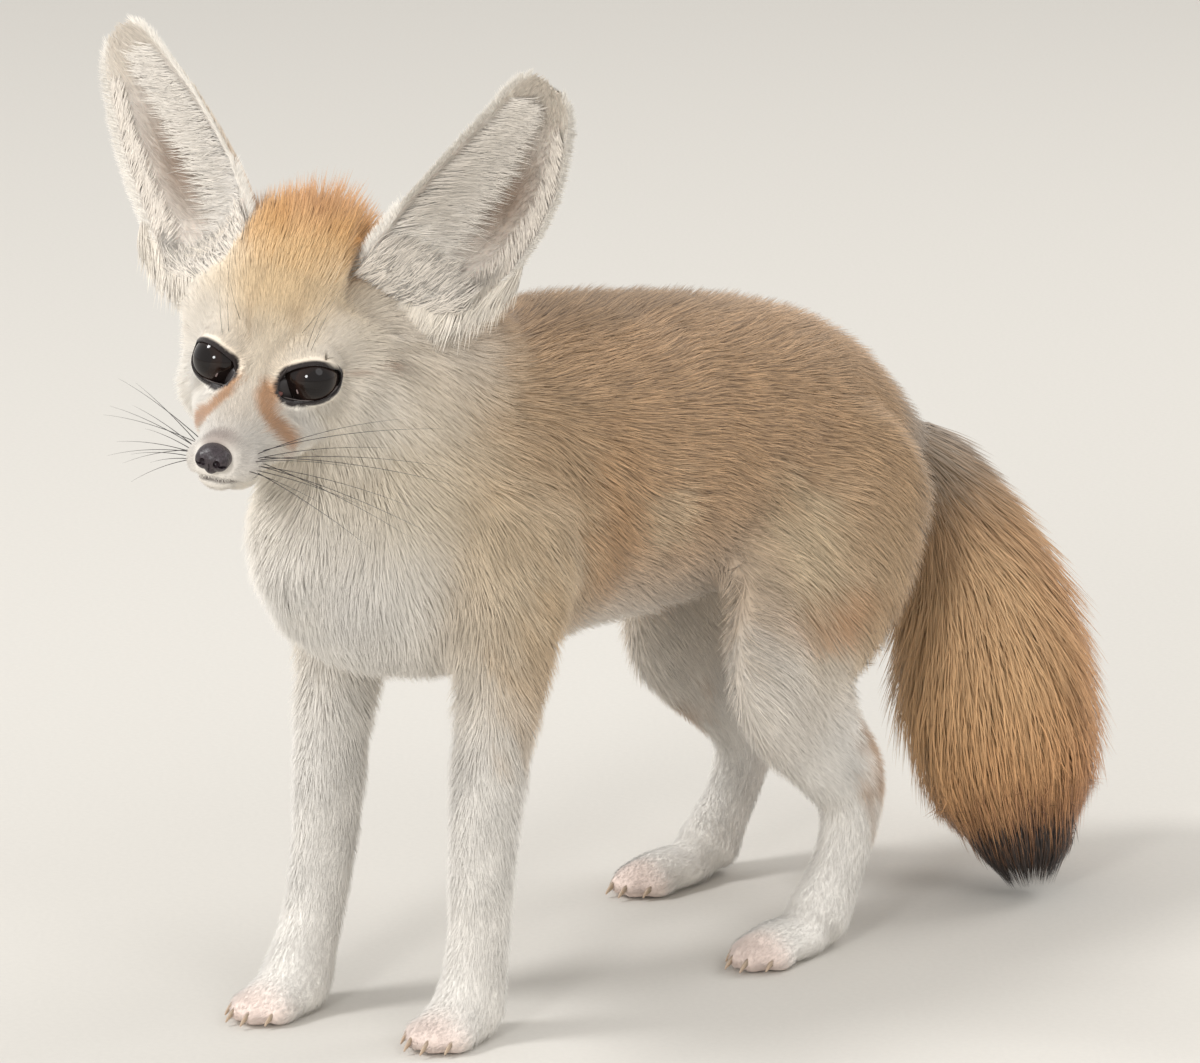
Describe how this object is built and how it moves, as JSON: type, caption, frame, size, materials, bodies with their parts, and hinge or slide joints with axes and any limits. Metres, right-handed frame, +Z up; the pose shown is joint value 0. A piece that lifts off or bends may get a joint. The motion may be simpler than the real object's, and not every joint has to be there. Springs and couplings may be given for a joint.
{
  "type": "fennec fox",
  "caption": "Life-size still model of a standing fennec fox with very large cupped ears, a bushy tail hanging to the ground and the head turned to its left.",
  "frame": {"origin": "middle of the model's box on the ground that the paws stand on", "axes": "+Z up, the body faces -Y, its left side is +X; the head is turned about 30 degrees to its left"},
  "size_m": [0.1656, 0.3996, 0.3125],
  "materials": {
    "coat": "dense fur, buff on the back, cream and white below, rusty tail with a black tip",
    "nose": "moist bare skin, brown-black",
    "eye": "dark brown, wet gloss",
    "claw": "horn, pale brown"
  },
  "bodies": {
    "root": {"torso": "coat", "neck": "coat", "head": "coat", "ear_left": "coat", "ear_right": "coat", "foreleg_left": "coat", "foreleg_right": "coat", "hindleg_left": "coat", "hindleg_right": "coat", "tail": "coat", "nose": "nose", "eye_left": "eye", "eye_right": "eye", "foreclaw_left_1": "claw", "foreclaw_left_2": "claw", "foreclaw_left_3": "claw", "foreclaw_left_4": "claw", "foreclaw_right_1": "claw", "foreclaw_right_2": "claw", "foreclaw_right_3": "claw", "foreclaw_right_4": "claw", "hindclaw_left_1": "claw", "hindclaw_left_2": "claw", "hindclaw_left_3": "claw", "hindclaw_left_4": "claw", "hindclaw_right_1": "claw", "hindclaw_right_2": "claw", "hindclaw_right_3": "claw", "hindclaw_right_4": "claw"}
  },
  "joints": []
}
